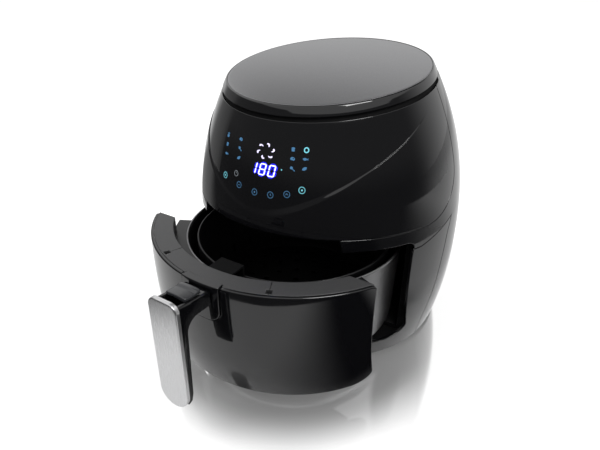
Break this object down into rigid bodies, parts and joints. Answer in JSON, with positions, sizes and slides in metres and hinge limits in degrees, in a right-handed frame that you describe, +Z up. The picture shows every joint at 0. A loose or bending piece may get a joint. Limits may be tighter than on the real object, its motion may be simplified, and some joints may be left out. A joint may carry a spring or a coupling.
{
  "type": "air fryer",
  "caption": "Barrel-shaped digital air fryer with a pull-out drawer, lift-out perforated basket, bar handle with release button, and a sloping lid.",
  "frame": {"origin": "on the table under the axis of the barrel-shaped body", "axes": "+Z up, -Y out of the front where the drawer pulls out, +X to the right for someone facing along +Y"},
  "size_m": [0.3, 0.4204, 0.3005],
  "materials": {
    "gloss_black": "polished",
    "satin_lid": "satin lacquer",
    "black_moulding": "moulded",
    "rubber": "matt",
    "steel": "brushed",
    "coated_sheet": "satin",
    "element_tube": "oxidised",
    "ceramic_white": "moulded",
    "motor_iron": "lacquered",
    "board_green": "solder mask",
    "display_white": "moulded",
    "matt_grey": "fine texture",
    "nonstick": "non-stick coat",
    "silver_plate": "satin",
    "smoke_grey": "polished"
  },
  "bodies": {
    "housing": {"rear_shell": "gloss_black", "front_cover": "gloss_black", "drawer_surround": "gloss_black", "mouth_frame": "black_moulding", "lid_disc": "satin_lid", "lid_band": "gloss_black", "lid_collar": "black_moulding", "base_plate": "black_moulding", "foot_ring": "rubber", "base_screws": "steel", "inner_liner": "coated_sheet", "drawer_rails": "black_moulding", "drawer_switch": "black_moulding", "cord_gland": "black_moulding", "outlet_grille": "black_moulding", "outlet_duct": "black_moulding", "heat_shield": "steel", "heating_element": "element_tube", "element_clips": "steel", "element_guard": "steel", "temperature_probe": "steel", "thermal_cutout": "ceramic_white", "motor_deck": "black_moulding", "deck_posts": "black_moulding", "motor": "motor_iron", "motor_bushes": "rubber", "power_board": "board_green", "touch_board": "board_green", "display_module": "display_white", "panel_frame": "black_moulding"},
    "rotor": {"rotor_shaft": "steel", "hot_air_fan": "steel", "cooling_fan": "ceramic_white", "fan_nut": "steel"},
    "drawer": {"drawer_front": "gloss_black", "drawer_rim": "matt_grey", "pan": "coated_sheet", "pan_screws": "steel"},
    "basket_assembly": {"basket": "nonstick", "basket_floor": "nonstick", "basket_bracket": "nonstick", "handle_bridge": "matt_grey", "handle_root": "gloss_black", "handle_shell": "gloss_black", "handle_plate": "silver_plate", "handle_screws": "steel", "button_spring": "steel"},
    "release_button": {"release_button": "smoke_grey"},
    "button_cover": {"button_cover": "smoke_grey"}
  },
  "joints": [
    {"name": "drawer_slide", "type": "slide", "parent": "housing", "child": "drawer", "axis": [0, -1, 0], "range_m": [-0.076, 0.16]},
    {"name": "basket_lift", "type": "slide", "parent": "drawer", "child": "basket_assembly", "axis": [0, 0, 1], "range_m": [0, 0.01]},
    {"name": "button_press", "type": "slide", "parent": "basket_assembly", "child": "release_button", "axis": [0, -0.1392, -0.9903], "range_m": [0, 0.0025], "stiffness_N_per_m": 300, "springref_m": -0.001, "deforming": ["button_spring"]},
    {"name": "cover_slide", "type": "slide", "parent": "basket_assembly", "child": "button_cover", "axis": [0, -0.9903, 0.1392], "range_m": [0, 0.007]},
    {"name": "fan_spin", "type": "hinge", "parent": "housing", "child": "rotor", "pos_m": [0, 0, 0.19], "axis": [0, 0, 1], "continuous": true}
  ]
}
